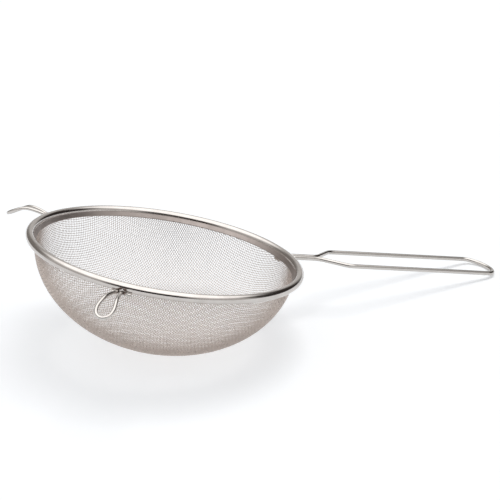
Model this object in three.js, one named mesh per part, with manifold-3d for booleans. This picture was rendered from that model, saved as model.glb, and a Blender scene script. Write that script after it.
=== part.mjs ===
// Fine-mesh kitchen strainer: a bowl of woven wire cloth held in a rolled sheet-steel rim, with a long
// handle bent from one wire and two small wire ears that rest on the edge of a pot. Millimetres, +Z up.
//
// The pieces are drawn around the rim: the middle of the bead lies in the plane z = 0 about the Z axis, and
// the handle leaves along +X. The whole is then tipped until the bowl and the end of the handle both stand on
// the table, and moved so that the origin is the spot where the bowl touches it.

import * as THREE from 'three';
import { mergeVertices } from 'three/addons/utils/BufferGeometryUtils.js';
import Module from 'manifold-3d';

// Rim: one strip of sheet steel, a band inside the bowl that is curled outward and down into a bead.
const RIM_DIAMETER = 200; // across the middle of the bead
const BEAD_DIAMETER = 6.5;
const STRIP_THICKNESS = 0.6;
const BAND_DROP = 3.6; // from the middle of the bead down to the lower edge of the band
const BAND_LEAN = 1.9; // how much further in the lower edge of the band stands than the bead

// Bowl: woven wire cloth, two wires thick, pressed to a half ellipsoid about the middle of the bead.
const CLOTH_THICKNESS = 0.6;
const BOWL_DEPTH = 73; // from the middle of the bead to the underside
const REST_FLAT = 0.25; // how far the cloth gives where it stands on the table

// Openings of the cloth: a coarse grid that stands in for the fine holes, with its bars along the two sets of wires.
const GRID_PITCH = 26; // from bar to bar along the cloth
const GRID_BAR = 5.2; // width of a bar
const GRID_BEARING = 19; // degrees from the handle to one set of bars
const GRID_BORDER = 3; // whole cloth left below the band
const REST_PATCH = 9; // radius of the whole cloth left where it stands on the table

// Wire ring in the bead that the edge of the cloth is turned over.
const HEM_WIRE_DIAMETER = 2;
const HEM_WRAP = 130; // degrees that the cloth turns round it

// Handle: one wire, two ends side by side at the neck, spread to a long loop with a round end.
const HANDLE_WIRE_DIAMETER = 3.5;
const HANDLE_REACH = 206.3; // from the middle of the bead to the middle of the wire at the far end
const HANDLE_SET_DOWN = 3.4; // wire below the middle of the bead, where its line crosses the bead
const HANDLE_DROOP = 2.4; // degrees below the plane of the rim
const NECK_LENGTH = 34.5;
const NECK_GAP = 0.6; // between the two wires at the neck
const SPLAY_LENGTH = 20.5;
const LOOP_WIDTH_NEAR = 33; // between the middles of the wires, where the spread ends
const LOOP_WIDTH_FAR = 35.4; // the same, where the round end begins
const LOOP_END_DEPTH = 12.5; // of the round end, which is flatter than half a circle
const TUCK_RUN = 9; // length over which the wires dip to pass under the bead
const TUCK_BEND = 3; // length of wire on each side of a corner of that dip that its bend takes up
const SPLAY_BEND = 4; // the same for the corners of the spread

// Ears: two alike, each a thinner wire bent to a drop-shaped loop with a foot on either side.
const EAR_WIRE_DIAMETER = 2.6;
const EAR_LEFT_BEARING = 123; // degrees round the rim from the handle
const EAR_RIGHT_BEARING = -133;
const EAR_REACH = 41.5; // from the middle of the bead to the middle of the wire at the tip
const EAR_WIDTH = 11.4; // between the middles of the wires, where the loop is widest
const EAR_TIP_ROUND = 6.6; // depth of the round end
const EAR_TIP_DROP = 10.1; // tip below the plane of the rim
const EAR_SHOULDER_DROP = 5.9; // the same where the round end begins
const EAR_CREST_OUT = 16.4; // highest point of the loop, out from the middle of the bead
const EAR_CREST_DROP = 0.8; // that point below the plane of the rim
const EAR_CREST_WIDTH = 5.8; // between the middles of the wires there
const EAR_MIDWAY_FALL = 0.1; // share of the fall from there to the round end that a leg has made halfway
const EAR_THROAT_OUT = 4.8; // where the two legs come together, out from the middle of the bead
const EAR_THROAT_DROP = 2.6;
const EAR_THROAT_GAP = 0.8; // between the legs there
const EAR_FOOT_LENGTH = 5.5; // along the bead, on either side
const EAR_FOOT_OUT = 2.8; // feet out from the middle of the bead

// Fit between pieces that touch or are welded together.
const CLEARANCE = 0.3;

// How finely round shapes are divided.
const RIM_SEGMENTS = 60;
const CURL_STEPS = 14;
const REST_STEPS = 2; // rings of the bowl below the spot that it stands on
const BOWL_STEPS = 7; // rings above it
const HEM_STEPS = 4;
const NET_STEPS = 8; // steps of the cloth's net from bar to bar
const HANDLE_SIDES = 10;
const HANDLE_STEPS = 84;
const EAR_SIDES = 8;
const EAR_STEPS = 48;
const PATCH_SIDES = 24;
const QUARTER_ROUND = 0.5523; // pull of a curve that makes a quarter circle, as a share of its radius

const wasm = await Module();
wasm.setup();

const rimRadius = RIM_DIAMETER / 2;
const beadRadius = BEAD_DIAMETER / 2;
const handleWireRadius = HANDLE_WIRE_DIAMETER / 2;
const earWireRadius = EAR_WIRE_DIAMETER / 2;
const halfCloth = CLOTH_THICKNESS / 2;

// Closed body with shared corners, as a solid that can be cut.
function toSolid(geometry) {
  const bare = geometry.clone();
  bare.deleteAttribute('normal');
  bare.deleteAttribute('uv');
  const merged = mergeVertices(bare, 1e-4);
  return new wasm.Manifold(new wasm.Mesh({
    numProp: 3,
    vertProperties: new Float32Array(merged.attributes.position.array),
    triVerts: new Uint32Array(merged.index.array),
  }));
}

function toGeometry(solid) {
  const mesh = solid.getMesh();
  const geometry = new THREE.BufferGeometry();
  geometry.setAttribute('position', new THREE.BufferAttribute(new Float32Array(mesh.vertProperties), 3));
  geometry.setIndex(new THREE.BufferAttribute(new Uint32Array(mesh.triVerts), 1));
  return geometry;
}

// Turned body from a profile of (radius, height) points.
function turned(profile) {
  const geometry = new THREE.LatheGeometry(profile, RIM_SEGMENTS);
  geometry.rotateX(Math.PI / 2);
  return geometry;
}

// Round wire along a curve, with flat ends.
function roundWire(curve, radius, sides, steps) {
  const points = [];
  for (let i = 0; i < sides; i += 1) {
    const turn = (2 * Math.PI * (i + 0.5)) / sides;
    points.push(new THREE.Vector2(radius * Math.cos(turn), radius * Math.sin(turn)));
  }
  curve.arcLengthDivisions = 600;
  return new THREE.ExtrudeGeometry(new THREE.Shape(points), {
    steps,
    bevelEnabled: false,
    extrudePath: curve,
  });
}

// Offsets of a profile line to its left (positive) or right.
function offsetLine(line, distance) {
  return line.map((point, i) => {
    const before = line[Math.max(i - 1, 0)];
    const after = line[Math.min(i + 1, line.length - 1)];
    const along = after.clone().sub(before).normalize();
    return new THREE.Vector2(point.x - along.y * distance, point.y + along.x * distance);
  });
}

// Band of the rim: its outer face, which the cloth lies against.
const bandOuterTop = rimRadius - beadRadius + STRIP_THICKNESS;
const bandSlope = BAND_LEAN / BAND_DROP;
const bandLean = Math.atan(bandSlope);
const clothOffset = (CLEARANCE + halfCloth) / Math.cos(bandLean);
const bandOuterAt = (z) => bandOuterTop + bandSlope * z;
const clothAt = (z) => bandOuterAt(z) + clothOffset;

// Bowl's half ellipsoid in the middle of the cloth.
const bowlFall = BOWL_DEPTH - halfCloth;
const bowlStart = Math.asin(BAND_DROP / bowlFall);
const bowlRadius = clothAt(-BAND_DROP) / Math.cos(bowlStart);

// Tip of the whole strainer at which the bowl and the end of the handle both touch the table.
const droop = THREE.MathUtils.degToRad(HANDLE_DROOP);
const handleLine = (out) => -HANDLE_SET_DOWN - out * Math.tan(droop);
const standWidth = bowlRadius + halfCloth;
const standDepth = bowlFall + halfCloth;
const bowlLow = (tip) => REST_FLAT - Math.hypot(standWidth * Math.sin(tip), standDepth * Math.cos(tip));
const handleLow = (tip) =>
  -(rimRadius + HANDLE_REACH) * Math.sin(tip) + handleLine(HANDLE_REACH) * Math.cos(tip) - handleWireRadius;
let tipLeast = 0;
let tipMost = Math.PI / 3;
for (let i = 0; i < 60; i += 1) {
  const middle = (tipLeast + tipMost) / 2;
  if (handleLow(middle) > bowlLow(middle)) tipLeast = middle;
  else tipMost = middle;
}
const restTip = (tipLeast + tipMost) / 2;
const tableHeight = bowlLow(restTip);
const standSpan = Math.hypot(standWidth * Math.sin(restTip), standDepth * Math.cos(restTip));
const standPoint = new THREE.Vector3(
  (standWidth ** 2 * Math.sin(restTip)) / standSpan,
  0,
  (-(standDepth ** 2) * Math.cos(restTip)) / standSpan,
);
const standTurn = Math.atan2(standDepth * Math.cos(restTip), standWidth * Math.sin(restTip));

// Middle of the cloth: from the bottom of the bowl up the wall, past the band and round the hem wire. One of its
// rings lies where the bowl stands.
const hemTurn = HEM_WIRE_DIAMETER / 2 + CLEARANCE + halfCloth;
const clothLine = [];
const ringTurns = [];
for (let i = 0; i < REST_STEPS; i += 1) ringTurns.push(Math.PI / 2 + ((standTurn - Math.PI / 2) * i) / REST_STEPS);
for (let i = 0; i <= BOWL_STEPS; i += 1) ringTurns.push(standTurn + ((bowlStart - standTurn) * i) / BOWL_STEPS);
for (const t of ringTurns) {
  clothLine.push(new THREE.Vector2(bowlRadius * Math.cos(t), -bowlFall * Math.sin(t)));
}
clothLine[0].x = 0;
clothLine.push(new THREE.Vector2(clothAt(-0.5 * BAND_DROP), -0.5 * BAND_DROP));
for (let i = 0; i <= HEM_STEPS; i += 1) {
  const t = Math.PI - (THREE.MathUtils.degToRad(HEM_WRAP) * i) / HEM_STEPS;
  clothLine.push(new THREE.Vector2(rimRadius + hemTurn * Math.cos(t), hemTurn * Math.sin(t)));
}

// The cloth's own outer and inner faces, closed over the edge inside the bead.
const clothOuter = offsetLine(clothLine, -halfCloth);
const clothInner = offsetLine(clothLine, halfCloth);
clothOuter[0].set(0, clothLine[0].y - halfCloth);
clothInner[0].set(0, clothLine[0].y + halfCloth);
const clothProfile = [...clothOuter, ...clothInner.reverse()];

const standAt = standPoint.clone().applyAxisAngle(new THREE.Vector3(0, 1, 0), restTip);

// Wall of the bowl in the middle of the cloth, from the bottom up to the band.
const wall = new THREE.EllipseCurve(0, 0, bowlRadius, bowlFall, -Math.PI / 2, -bowlStart);
const wallLength = wall.getLength();

// Spot on the wall, or straight on above it, at a distance from the bottom along the cloth and a bearing.
function onCloth(along, bearing) {
  const share = Math.min(along / wallLength, 1);
  const slope = wall.getTangentAt(share);
  const spot = wall.getPointAt(share).addScaledVector(slope, along - share * wallLength);
  const c = Math.cos(bearing);
  const s = Math.sin(bearing);
  return {
    along,
    radius: spot.x,
    place: new THREE.Vector3(spot.x * c, spot.x * s, spot.y),
    up: new THREE.Vector3(slope.x * c, slope.x * s, slope.y),
    around: new THREE.Vector3(-s, c, 0),
    outward: new THREE.Vector3(slope.y * c, slope.y * s, -slope.x),
  };
}

// Next crossing of the net: one step from two neighbours, away from the corner that they share.
function nextCrossing(first, second, corner, step) {
  const guess = first.place.clone().add(second.place).sub(corner.place);
  let bearing = Math.atan2(guess.y, guess.x);
  let spot = onCloth(first.along + second.along - corner.along, bearing);
  for (let i = 0; i < 8; i += 1) {
    const toFirst = spot.place.clone().sub(first.place);
    const toSecond = spot.place.clone().sub(second.place);
    const [a, b] = [toFirst.dot(spot.up), toFirst.dot(spot.around)];
    const [c, d] = [toSecond.dot(spot.up), toSecond.dot(spot.around)];
    const e = (step ** 2 - toFirst.lengthSq()) / 2;
    const f = (step ** 2 - toSecond.lengthSq()) / 2;
    const span = a * d - b * c;
    bearing += (a * f - c * e) / span / spot.radius;
    spot = onCloth(spot.along + (e * d - b * f) / span, bearing);
  }
  return spot;
}

// One quarter of the cloth as a net of equal steps. Pressing the flat cloth to a bowl keeps the lengths of its
// wires and shears the squares between them, so each crossing lies one step from the two before it.
function clothNet(step) {
  const reach = wallLength + 2 * GRID_PITCH;
  const count = Math.ceil(reach / step);
  const net = [];
  for (let i = 0; i <= count; i += 1) {
    net.push([]);
    for (let j = 0; j <= count; j += 1) {
      const sides = i > 0 && j > 0 ? [net[i - 1][j], net[i][j - 1]] : [];
      if (i === 0) net[i].push(onCloth(j * step, Math.PI / 2));
      else if (j === 0) net[i].push(onCloth(i * step, 0));
      else if (sides.every((spot) => spot && spot.along < reach)) {
        net[i].push(nextCrossing(sides[0], sides[1], net[i - 1][j - 1], step));
      } else net[i].push(null);
    }
  }
  return net;
}

// Plug that cuts one opening: its four corners on the cloth, carried through it along the cloth's normal.
function openingPlug(corners, flip) {
  const tightest = Math.min(bowlFall ** 2 / bowlRadius, bowlRadius ** 2 / bowlFall);
  const through = 2 * CLOTH_THICKNESS + GRID_PITCH ** 2 / (4 * tightest);
  const points = [];
  for (const side of [-through, through]) {
    for (const corner of corners) {
      const point = corner.place.clone().addScaledVector(corner.outward, side);
      points.push(point.x * flip[0], point.y * flip[1], point.z);
    }
  }
  const faces = [[0, 1, 2, 3], [4, 7, 6, 5], [4, 5, 1, 0], [5, 6, 2, 1], [6, 7, 3, 2], [7, 4, 0, 3]];
  const index = [];
  for (const [a, b, c, d] of faces) {
    if (flip[0] * flip[1] > 0) index.push(a, b, c, a, c, d);
    else index.push(a, c, b, a, d, c);
  }
  const geometry = new THREE.BufferGeometry();
  geometry.setAttribute('position', new THREE.Float32BufferAttribute(points, 3));
  geometry.setIndex(index);
  return geometry;
}

// All openings, between the border below the band and the patch that the bowl stands on.
function makeOpenings() {
  const step = GRID_PITCH / NET_STEPS;
  const net = clothNet(step);
  const borderHeight = -BAND_DROP - GRID_BORDER;
  const spotAt = (u, v) => {
    const [i, j] = [Math.floor(u / step), Math.floor(v / step)];
    const [p, q] = [u / step - i, v / step - j];
    const near = [net[i]?.[j], net[i + 1]?.[j], net[i]?.[j + 1], net[i + 1]?.[j + 1]];
    if (!near.every(Boolean)) return null;
    const blend = (key) => {
      const low = near[0][key].clone().lerp(near[1][key], p);
      return low.lerp(near[2][key].clone().lerp(near[3][key], p), q);
    };
    return { place: blend('place'), outward: blend('outward').normalize() };
  };
  let openings = null;
  for (let u = 0; u < wallLength; u += GRID_PITCH) {
    for (let v = 0; v < wallLength; v += GRID_PITCH) {
      const ends = [GRID_BAR / 2, GRID_PITCH - GRID_BAR / 2];
      const corners = [[0, 0], [1, 0], [1, 1], [0, 1]].map(([a, b]) => spotAt(u + ends[a], v + ends[b]));
      const opens = corners.every(Boolean) && corners.some((spot) => spot.place.z < borderHeight - GRID_BAR);
      for (const flip of opens ? [[1, 1], [-1, 1], [1, -1], [-1, -1]] : []) {
        const plug = toSolid(openingPlug(corners, flip));
        openings = openings ? openings.add(plug) : plug;
      }
    }
  }
  const bearing = new THREE.Matrix4().makeRotationZ(THREE.MathUtils.degToRad(GRID_BEARING));
  const turnedOpenings = toSolid(toGeometry(openings).applyMatrix4(bearing));
  const below = new THREE.BoxGeometry(2 * RIM_DIAMETER, 2 * RIM_DIAMETER, 2 * BOWL_DEPTH);
  below.translate(0, 0, borderHeight - BOWL_DEPTH);
  const patch = new THREE.CylinderGeometry(REST_PATCH, REST_PATCH, BOWL_DEPTH, PATCH_SIDES);
  patch.rotateX(Math.PI / 2);
  patch.translate(standAt.x, 0, tableHeight);
  patch.rotateY(-restTip);
  return turnedOpenings.intersect(toSolid(below)).subtract(toSolid(patch));
}

// Bowl, with the cloth flat where it stands on the table.
function makeBowl() {
  const slabHeight = BEAD_DIAMETER;
  const slabWidth = RIM_DIAMETER;
  const slab = new THREE.BoxGeometry(slabWidth, slabWidth, slabHeight);
  slab.translate(0, 0, tableHeight - slabHeight / 2);
  slab.rotateY(-restTip);
  return toGeometry(toSolid(turned(clothProfile)).subtract(toSolid(slab)).subtract(makeOpenings()));
}

// Rim: up the inner face of the band, over the bead, and back along the inside of the curl. The curl ends just
// short of the cloth, which it presses against the band.
function makeRim() {
  const reaches = (turn) => {
    const x = rimRadius + beadRadius * Math.cos(turn);
    const z = beadRadius * Math.sin(turn);
    const gap = (x - clothAt(z)) * Math.cos(bandLean) - halfCloth;
    return gap <= CLEARANCE;
  };
  let curlEnd = -Math.PI / 2;
  while (!reaches(curlEnd - 0.01)) curlEnd -= 0.01;
  const outside = [];
  const inside = [];
  for (let i = 0; i <= CURL_STEPS; i += 1) {
    const turn = Math.PI + ((curlEnd - Math.PI) * i) / CURL_STEPS;
    const inner = beadRadius - STRIP_THICKNESS;
    outside.push(new THREE.Vector2(rimRadius + beadRadius * Math.cos(turn), beadRadius * Math.sin(turn)));
    inside.push(new THREE.Vector2(rimRadius + inner * Math.cos(turn), inner * Math.sin(turn)));
  }
  const bandThrough = STRIP_THICKNESS / Math.cos(bandLean);
  const bandFoot = new THREE.Vector2(bandOuterAt(-BAND_DROP), -BAND_DROP);
  const bandToe = new THREE.Vector2(bandFoot.x - bandThrough, -BAND_DROP);
  const profile = [bandToe, ...outside, ...inside.reverse(), bandFoot];
  profile.reverse();
  profile.push(profile[0].clone());
  return turned(profile);
}

function makeHemWire() {
  return new THREE.TorusGeometry(rimRadius, HEM_WIRE_DIAMETER / 2, EAR_SIDES, RIM_SEGMENTS);
}

// Straight runs with a smooth bend at each corner, which takes up the length of bends[i] on each side of it.
function bentRun(path, corners, bends) {
  let from = corners[0];
  for (let i = 1; i < corners.length - 1; i += 1) {
    const corner = corners[i];
    const back = corners[i - 1].clone().sub(corner).setLength(bends[i]).add(corner);
    const on = corners[i + 1].clone().sub(corner).setLength(bends[i]).add(corner);
    path.add(new THREE.LineCurve3(from, back));
    path.add(new THREE.QuadraticBezierCurve3(back, corner, on));
    from = on;
  }
  path.add(new THREE.LineCurve3(from, corners[corners.length - 1]));
}

function makeHandle() {
  const under = -(beadRadius + CLEARANCE + handleWireRadius);
  const nearSide = (HANDLE_WIRE_DIAMETER + NECK_GAP) / 2;
  const endSide = LOOP_WIDTH_FAR / 2;
  const roundStart = HANDLE_REACH - LOOP_END_DEPTH;
  const point = (out, side, z) => new THREE.Vector3(rimRadius + out, side, z);
  const onLine = (out, side) => point(out, side, handleLine(out));
  const wireEnd = clothAt(-BAND_DROP) + halfCloth + CLEARANCE - rimRadius;
  const half = [
    point(wireEnd, nearSide, under),
    point(0.5 * beadRadius, nearSide, under),
    onLine(TUCK_RUN, nearSide),
    onLine(NECK_LENGTH, nearSide),
    onLine(NECK_LENGTH + SPLAY_LENGTH, LOOP_WIDTH_NEAR / 2),
    onLine(roundStart, endSide),
  ];
  const mirrored = half.map((p) => new THREE.Vector3(p.x, -p.y, p.z)).reverse();
  const tip = onLine(HANDLE_REACH, 0);
  const outPull = roundStart + QUARTER_ROUND * LOOP_END_DEPTH;
  const sidePull = QUARTER_ROUND * endSide;
  const path = new THREE.CurvePath();
  const bends = [0, TUCK_BEND, TUCK_BEND, SPLAY_BEND, SPLAY_BEND, 0];
  bentRun(path, half, bends);
  path.add(new THREE.CubicBezierCurve3(
    half[5], onLine(outPull, endSide), onLine(HANDLE_REACH, sidePull), tip,
  ));
  path.add(new THREE.CubicBezierCurve3(
    tip, onLine(HANDLE_REACH, -sidePull), onLine(outPull, -endSide), mirrored[0],
  ));
  bentRun(path, mirrored, bends.reverse());
  return roundWire(path, handleWireRadius, HANDLE_SIDES, HANDLE_STEPS);
}

// One ear, pointing out along +X: foot along the bead, leg over the crest, round tip, and back.
function makeEar() {
  const seat = beadRadius + CLEARANCE + earWireRadius;
  const footDrop = -Math.sqrt(seat ** 2 - EAR_FOOT_OUT ** 2);
  const throatSide = (EAR_THROAT_GAP + EAR_WIRE_DIAMETER) / 2;
  const onFoot = (side) => {
    const turn = side / (rimRadius + EAR_FOOT_OUT);
    const radius = rimRadius + EAR_FOOT_OUT;
    return new THREE.Vector3(radius * Math.cos(turn), radius * Math.sin(turn), footDrop);
  };
  const point = (out, side, z) => new THREE.Vector3(rimRadius + out, side, z);
  const shoulder = EAR_REACH - EAR_TIP_ROUND;
  const half = [
    onFoot(throatSide + EAR_FOOT_LENGTH),
    onFoot(throatSide + EAR_FOOT_LENGTH / 2),
    point(EAR_THROAT_OUT, throatSide, -EAR_THROAT_DROP),
    point(EAR_CREST_OUT, EAR_CREST_WIDTH / 2, -EAR_CREST_DROP),
    point((EAR_CREST_OUT + shoulder) / 2, (EAR_CREST_WIDTH + EAR_WIDTH) / 4,
      -EAR_CREST_DROP - EAR_MIDWAY_FALL * (EAR_SHOULDER_DROP - EAR_CREST_DROP)),
    point(shoulder, EAR_WIDTH / 2, -EAR_SHOULDER_DROP),
    point(shoulder + EAR_TIP_ROUND * Math.SQRT1_2, (EAR_WIDTH / 2) * Math.SQRT1_2,
      -EAR_SHOULDER_DROP - (EAR_TIP_DROP - EAR_SHOULDER_DROP) * Math.SQRT1_2),
  ];
  const mirrored = half.map((p) => new THREE.Vector3(p.x, -p.y, p.z)).reverse();
  const tip = point(EAR_REACH, 0, -EAR_TIP_DROP);
  const curve = new THREE.CatmullRomCurve3([...half, tip, ...mirrored], false, 'centripetal');
  return roundWire(curve, earWireRadius, EAR_SIDES, EAR_STEPS);
}

const polishedSteel = new THREE.MeshStandardMaterial({ color: 0xb9b5b1, roughness: 0.18, metalness: 1 });
const drawnWire = new THREE.MeshStandardMaterial({ color: 0xbdbab6, roughness: 0.22, metalness: 1 });
const wovenWire = new THREE.MeshStandardMaterial({ color: 0xaaa5a0, roughness: 0.38, metalness: 1 });

function piece(name, geometry, material) {
  const mesh = new THREE.Mesh(geometry, material);
  mesh.name = name;
  return mesh;
}

const aroundRim = new THREE.Group();
aroundRim.add(piece('mesh_bowl', makeBowl(), wovenWire));
aroundRim.add(piece('rim_hoop', makeRim(), polishedSteel));
aroundRim.add(piece('hem_wire', makeHemWire(), drawnWire));
aroundRim.add(piece('handle_wire', makeHandle(), drawnWire));
const earLeft = piece('ear_left', makeEar(), drawnWire);
earLeft.rotation.z = THREE.MathUtils.degToRad(EAR_LEFT_BEARING);
const earRight = piece('ear_right', makeEar(), drawnWire);
earRight.rotation.z = THREE.MathUtils.degToRad(EAR_RIGHT_BEARING);
aroundRim.add(earLeft, earRight);

// Tipped to stand on the table, with the origin where the bowl touches it.
aroundRim.rotation.y = restTip;
aroundRim.position.set(-standAt.x, 0, -tableHeight);

const strainer = new THREE.Group();
strainer.name = 'strainer';
strainer.add(aroundRim);

export default strainer;
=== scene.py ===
"""Looks of a fine-mesh kitchen strainer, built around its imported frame.

Each piece is worked out in millimetres around the rim: the middle of the bead lies in the plane z = 0 about
the Z axis, and the handle leaves along +X. RimFrame then places it, in metres, where the frame's rim stands.
"""

import logging
import math
from dataclasses import dataclass
from enum import Enum
from typing import Any, Sequence

import bpy
import numpy as np
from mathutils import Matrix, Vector

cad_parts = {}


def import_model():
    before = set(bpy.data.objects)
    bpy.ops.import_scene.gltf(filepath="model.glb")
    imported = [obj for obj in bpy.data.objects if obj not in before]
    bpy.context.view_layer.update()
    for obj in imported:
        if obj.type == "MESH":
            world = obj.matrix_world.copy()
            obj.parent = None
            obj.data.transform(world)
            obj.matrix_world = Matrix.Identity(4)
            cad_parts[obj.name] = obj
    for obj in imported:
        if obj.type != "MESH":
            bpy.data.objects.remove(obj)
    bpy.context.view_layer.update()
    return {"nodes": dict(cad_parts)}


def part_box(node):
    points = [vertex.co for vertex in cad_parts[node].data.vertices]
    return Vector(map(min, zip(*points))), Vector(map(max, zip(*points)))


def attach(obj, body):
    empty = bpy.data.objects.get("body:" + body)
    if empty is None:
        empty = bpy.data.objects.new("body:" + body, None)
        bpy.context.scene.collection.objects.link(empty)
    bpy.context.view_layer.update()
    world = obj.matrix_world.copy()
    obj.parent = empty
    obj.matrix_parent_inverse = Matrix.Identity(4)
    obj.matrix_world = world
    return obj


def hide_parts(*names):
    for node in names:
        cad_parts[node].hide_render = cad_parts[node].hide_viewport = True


log = logging.getLogger("strainer")

MM = 0.001
BODY = "root"
WHITE = "FFFFFF"
# Name of the sheet that a piece's finish is laid out on.
BAKE_UV = "OFBake"
# Share of the sheet's width per wire that stays free on either side of it.
SHEET_SIDE = 0.05
# Shares of the sheet's height at which the wires start, that they run along, and where their ends lie.
SHEET_FOOT = 0.01
SHEET_RUN = 0.97
SHEET_TIP = 0.99
# Name of the value, from 0 to 1, that says how brown a wire is: weld heat tint and painted shade under the
# bead.
WELD_HEAT_AND_SHADE = "weld_heat_and_shade"
# Length of wire to either side of a weld that heat tint and painted shade cover in full, in metres; they fade
# over as much.
WELD_AND_SHADE_REACH = 2.0 * MM
# Values of the noise in a finish between which steel goes from its least to its most roughness.
PATCH_LOW = 0.3
PATCH_HIGH = 0.7
# Diameter of the wire ring inside the bead, in millimetres.
HEM_WIRE = 2.0
# Sides of a wire in the cloth, which is too fine to show more; one face of as many corners closes its end.
CLOTH_SIDES = 4
# Share of its radius that a thick wire loses where its ends are rounded, and the steps of that round.
END_ROUND = 0.35
END_STEPS = np.radians([80.0, 60.0, 40.0, 20.0])
# Turn by which the end of the rim's curl is tried, in radians.
TRIAL_TURN = 0.005
# Pull of a curve that makes a quarter circle, as a share of its radius.
QUARTER_ROUND = 0.5523
# Distance at which the lamps hang, in metres; their light doesn't depend on it.
LAMP_DISTANCE = 2.0


class Slot(Enum):
    """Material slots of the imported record."""

    WOVEN_WIRE = "woven_wire"
    RIM_STEEL = "rim_steel"
    DRAWN_WIRE = "drawn_wire"


class Family(Enum):
    """The two sets of wires in the cloth."""

    WARP = "warp"
    WEFT = "weft"


class Side(Enum):
    """Halves of the cloth on either side of its middle wire."""

    LEFT = "left"
    RIGHT = "right"


def linear(hex_colour: str) -> tuple[float, float, float, float]:
    """Turns an sRGB colour to linear light.

    Args:
        hex_colour: six hex digits.

    Returns:
        Linear red, green and blue, and an alpha of 1.
    """
    shares = [int(hex_colour[i:i + 2], 16) / 255 for i in (0, 2, 4)]
    red, green, blue = (c / 12.92 if c <= 0.04045 else ((c + 0.055) / 1.055) ** 2.4 for c in shares)
    return red, green, blue, 1.0


def add_node(tree: bpy.types.NodeTree, kind: str, settings: dict[str, Any] | None = None,
             inputs: dict[str | int, Any] | None = None) -> bpy.types.Node:
    """Adds one node with its settings, input values and links.

    Args:
        tree: node tree of a material or the world.
        kind: the node's type name.
        settings: attribute values.
        inputs: for each input, a value or the output socket that it is linked to.

    Returns:
        The new node.
    """
    made = tree.nodes.new(kind)
    for name, value in (settings or {}).items():
        setattr(made, name, value)
    for key, value in (inputs or {}).items():
        if isinstance(value, bpy.types.NodeSocket):
            tree.links.new(value, made.inputs[key])
        else:
            made.inputs[key].default_value = value
    return made


def unit(vectors: np.ndarray) -> np.ndarray:
    """Gives each vector the length 1."""
    return vectors / np.linalg.norm(vectors, axis=1)[:, None]


def distances(line: np.ndarray) -> np.ndarray:
    """Distance of each point of a line from its start, along the line."""
    return np.concatenate([[0], np.cumsum(np.linalg.norm(np.diff(line, axis=0), axis=1))])


def about_z(points: np.ndarray, degrees: float) -> np.ndarray:
    """Turns points about the Z axis."""
    c, s = math.cos(math.radians(degrees)), math.sin(math.radians(degrees))
    return points @ np.array([[c, s, 0], [-s, c, 0], [0, 0, 1]])


@dataclass(frozen=True)
class RimFrame:
    """Where the rim stands in the part's frame.

    Attributes:
        centre: middle of the bead's circle, in metres.
        tip: lean of the whole strainer about +Y, in radians.
    """

    centre: np.ndarray
    tip: float

    @classmethod
    def from_hem(cls, wire_diameter: float) -> "RimFrame":
        """Reads the place and the lean off the wire ring inside the bead.

        Args:
            wire_diameter: diameter of that ring's wire, in millimetres.

        Returns:
            The rim's frame.
        """
        low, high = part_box("hem_wire")
        half = (high - low) / 2
        wire = wire_diameter / 2 * MM
        return cls(np.array((low + high) / 2), math.asin((half.z - wire) / (half.y - wire)))

    def place(self, points: np.ndarray) -> np.ndarray:
        """Takes points around the rim to the part's frame.

        Args:
            points: in millimetres.

        Returns:
            The points, in metres.
        """
        c, s = math.cos(self.tip), math.sin(self.tip)
        turn = np.array([[c, 0, s], [0, 1, 0], [-s, 0, c]])
        return points * MM @ turn.T + self.centre


def skin(rings: int, corners: int, closed: bool = False) -> np.ndarray:
    """Faces between the rings of a tube.

    Args:
        rings: number of rings.
        corners: corners of a ring.
        closed: whether the last ring meets the first.

    Returns:
        The four corner numbers of each face.
    """
    ring, corner = np.meshgrid(np.arange(rings if closed else rings - 1), np.arange(corners), indexing="ij")
    ring_next, corner_next = (ring + 1) % rings, (corner + 1) % corners
    return np.stack([ring * corners + corner, ring * corners + corner_next,
                     ring_next * corners + corner_next, ring_next * corners + corner], axis=2).reshape(-1, 4)


def tube(middle: np.ndarray, radius: float | np.ndarray, out: np.ndarray, aside: np.ndarray,
         sides: int) -> np.ndarray:
    """Corners of a tube, ring by ring.

    Args:
        middle: middle of each ring.
        radius: of all rings, or of each.
        out: direction to the first corner of each ring.
        aside: direction at right angles to that and to the tube.
        sides: corners of a ring.

    Returns:
        The corners.
    """
    angle = np.arange(sides) * 2 * math.pi / sides
    spoke = np.cos(angle)[None, :, None] * out[:, None] + np.sin(angle)[None, :, None] * aside[:, None]
    return (middle[:, None] + np.reshape(radius, (-1, 1, 1)) * spoke).reshape(-1, 3)


def make_object(name: str, points: np.ndarray, faces: Sequence[Sequence[int]] | np.ndarray,
                uv: np.ndarray | None = None) -> bpy.types.Object:
    """Makes a smooth mesh object.

    Args:
        name: name of the piece.
        points: corners, in metres.
        faces: corner numbers of each face.
        uv: place of each face corner on the baked sheet, if the piece brings its own.

    Returns:
        The object, linked to the scene.
    """
    counts = np.array([len(face) for face in faces])
    starts = np.concatenate([[0], np.cumsum(counts)[:-1]])
    corners = np.concatenate([np.asarray(face) for face in faces])
    mesh = bpy.data.meshes.new(name)
    mesh.vertices.add(len(points))
    mesh.vertices.foreach_set("co", points.astype(np.float32).ravel())
    mesh.loops.add(len(corners))
    mesh.polygons.add(len(counts))
    mesh.polygons.foreach_set("loop_start", starts.astype(np.int32))
    mesh.polygons.foreach_set("vertices", corners.astype(np.int32))
    mesh.polygons.foreach_set("use_smooth", np.ones(len(counts), dtype=bool))
    if uv is not None:
        mesh.uv_layers.new(name=BAKE_UV).data.foreach_set("uv", uv.astype(np.float32).ravel())
    mesh.update(calc_edges=True)
    made = bpy.data.objects.new(name, mesh)
    bpy.context.scene.collection.objects.link(made)
    return made


def settle(piece: bpy.types.Object, finish: "Finish", node: str) -> None:
    """Dresses a piece, seats it on the part and lets it stand for its node.

    Args:
        piece: the new piece.
        finish: its finish.
        node: the node that it replaces.
    """
    piece.data.materials.append(finish.material())
    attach(piece, BODY)
    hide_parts(node)
    log.info("%s: %d faces", piece.name, len(piece.data.polygons))


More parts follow.
